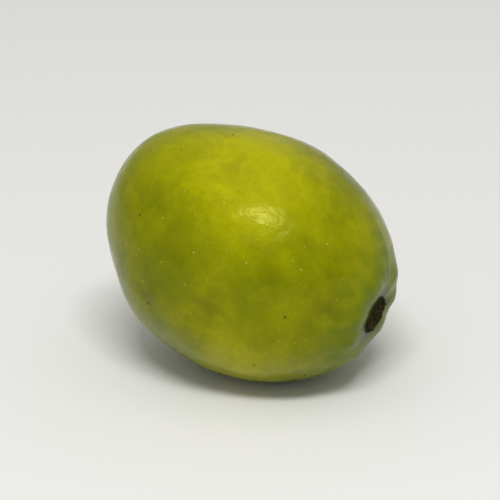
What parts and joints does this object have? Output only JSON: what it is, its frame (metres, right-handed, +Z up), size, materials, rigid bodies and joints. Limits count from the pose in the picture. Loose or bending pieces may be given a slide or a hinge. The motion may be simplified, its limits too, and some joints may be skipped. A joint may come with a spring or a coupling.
{
  "type": "umbu fruit",
  "caption": "Whole ripe umbu, an oval yellow-green fruit with a dark stalk scar, lying on its side on a small flat spot.",
  "frame": {"origin": "on the surface the fruit rests on, under the middle of its box", "axes": "+Z up, +X towards the stalk scar, which points a little down"},
  "size_m": [0.0402, 0.0326, 0.0329],
  "materials": {
    "ripe_skin": "satin"
  },
  "bodies": {
    "root": {"umbu_fruit": "ripe_skin"}
  },
  "joints": []
}
